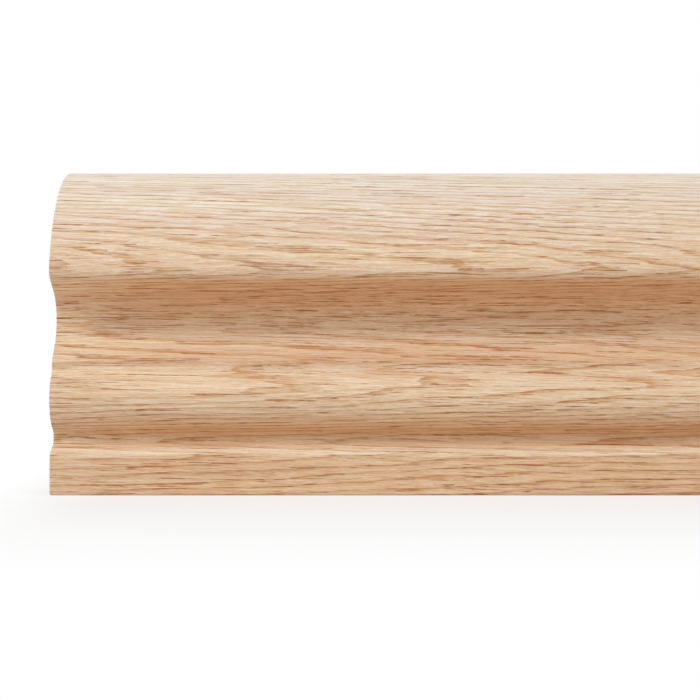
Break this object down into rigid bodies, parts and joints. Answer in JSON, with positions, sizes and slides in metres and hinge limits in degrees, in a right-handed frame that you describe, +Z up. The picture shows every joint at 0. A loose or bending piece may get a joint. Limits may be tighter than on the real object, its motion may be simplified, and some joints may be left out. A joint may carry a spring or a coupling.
{
  "type": "handrail moulding",
  "caption": "Straight length of solid oak handrail with a rounded crown, finger coves and roll beads along both sides, and a flat base to fix it by.",
  "frame": {"origin": "on the underside of the flat base, below the middle of the rail", "axes": "+X along the rail, +Y across it, +Z up from the base to the crown"},
  "size_m": [1.2, 0.0574, 0.07],
  "materials": {
    "oak": "bare oak, machined and sanded, sawn square at the ends"
  },
  "bodies": {
    "root": {"handrail": "oak"}
  },
  "joints": []
}
